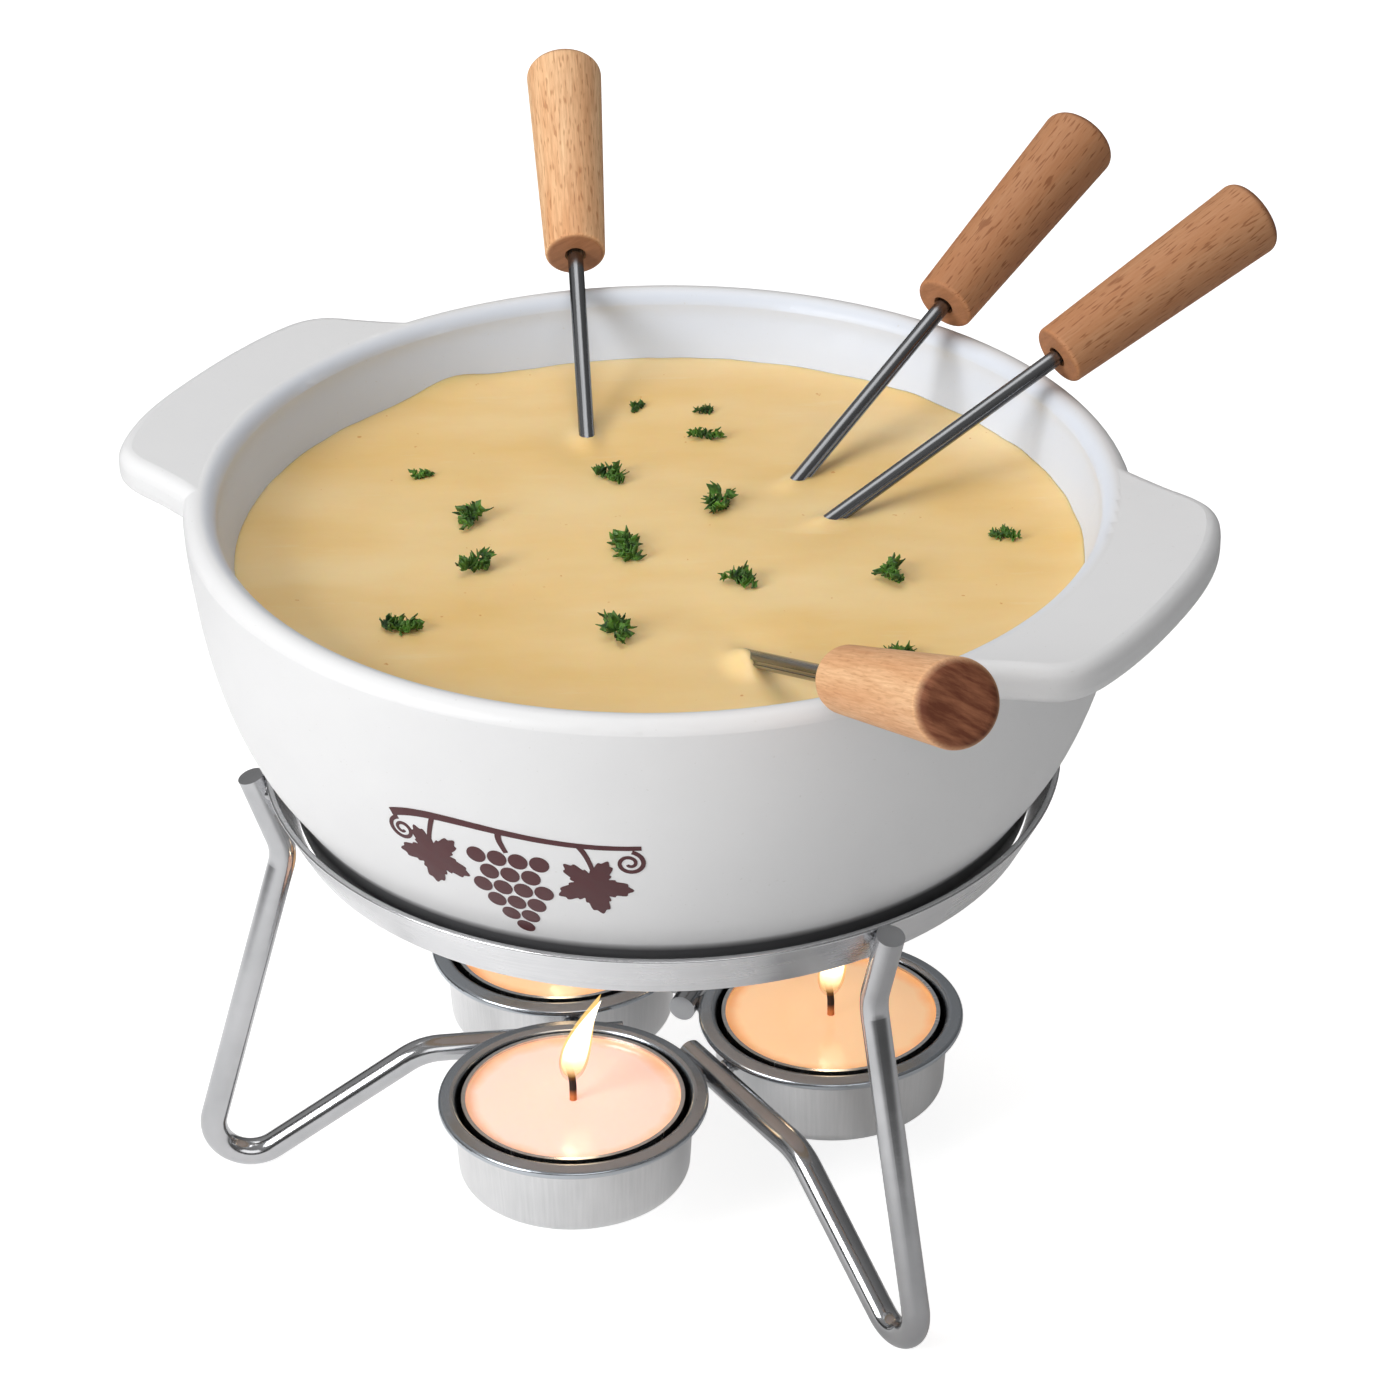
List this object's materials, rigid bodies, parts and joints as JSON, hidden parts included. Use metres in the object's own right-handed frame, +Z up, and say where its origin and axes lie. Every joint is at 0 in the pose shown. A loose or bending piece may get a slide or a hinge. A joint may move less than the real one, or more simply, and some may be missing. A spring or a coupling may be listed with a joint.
{
  "type": "fondue pot set",
  "caption": "Ceramic fondue bowl with two ears on a wire stand over tealights, filled with cheese, with wooden-handled forks resting in it.",
  "frame": {"origin": "centre of the stand on the surface it stands on, directly under the centre of the support ring and bowl", "axes": "+Z up; +X towards the bowl's right side as seen from the front, roughly along the two ears; +Y towards the back, where the first fork's handle points"},
  "size_m": [0.1959, 0.2356, 0.1571],
  "materials": {
    "bowl_ceramic": "matt white glaze",
    "cheese": "smooth moist cheese sauce, modelled as a set filling",
    "ring_steel": "plated strip, satin",
    "wire_chrome": "bright plated wire",
    "holder_steel": "brushed pressed sheet",
    "tealight_aluminium": "thin drawn aluminium",
    "candle_wax": "warm, partly molten paraffin wax",
    "wick_cotton": "charred cotton",
    "tab_tin": "thin tinned sheet",
    "fork_steel": "satin stainless steel",
    "fork_beech": "oiled beech"
  },
  "bodies": {
    "stand": {"support_ring": "ring_steel", "leg_1": "wire_chrome", "leg_2": "wire_chrome", "leg_3": "wire_chrome", "candle_holder_1": "holder_steel", "candle_holder_2": "holder_steel", "candle_holder_3": "holder_steel"},
    "bowl_body": {"bowl": "bowl_ceramic", "cheese_fondue": "cheese"},
    "fork_1": {"fork_1_prongs": "fork_steel", "fork_1_handle": "fork_beech"},
    "fork_2": {"fork_2_prongs": "fork_steel", "fork_2_handle": "fork_beech"},
    "fork_3": {"fork_3_prongs": "fork_steel", "fork_3_handle": "fork_beech"},
    "fork_4": {"fork_4_prongs": "fork_steel", "fork_4_handle": "fork_beech"},
    "tealight_1": {"tealight_cup_1": "tealight_aluminium", "wax_1": "candle_wax", "wick_1": "wick_cotton", "wick_tab_1": "tab_tin"},
    "tealight_2": {"tealight_cup_2": "tealight_aluminium", "wax_2": "candle_wax", "wick_2": "wick_cotton", "wick_tab_2": "tab_tin"},
    "tealight_3": {"tealight_cup_3": "tealight_aluminium", "wax_3": "candle_wax", "wick_3": "wick_cotton", "wick_tab_3": "tab_tin"}
  },
  "joints": [
    {"name": "bowl_lift", "type": "slide", "parent": "stand", "child": "bowl_body", "axis": [0, 0, 1], "range_m": [0, 0.06]},
    {"name": "fork_1_pull", "type": "slide", "parent": "bowl_body", "child": "fork_1", "axis": [-0.0464, 0.9152, 0.4003], "range_m": [0, 0.085]},
    {"name": "fork_2_pull", "type": "slide", "parent": "bowl_body", "child": "fork_2", "axis": [0.5852, 0.7149, 0.3827], "range_m": [0, 0.085]},
    {"name": "fork_3_pull", "type": "slide", "parent": "bowl_body", "child": "fork_3", "axis": [0.7895, 0.5029, 0.3518], "range_m": [0, 0.085]},
    {"name": "fork_4_pull", "type": "slide", "parent": "bowl_body", "child": "fork_4", "axis": [0.3261, -0.8586, 0.3955], "range_m": [0, 0.085]},
    {"name": "tealight_1_lift", "type": "slide", "parent": "stand", "child": "tealight_1", "axis": [0, 0, 1], "range_m": [0, 0.018]},
    {"name": "tealight_2_lift", "type": "slide", "parent": "stand", "child": "tealight_2", "axis": [0, 0, 1], "range_m": [0, 0.018]},
    {"name": "tealight_3_lift", "type": "slide", "parent": "stand", "child": "tealight_3", "axis": [0, 0, 1], "range_m": [0, 0.018]}
  ]
}
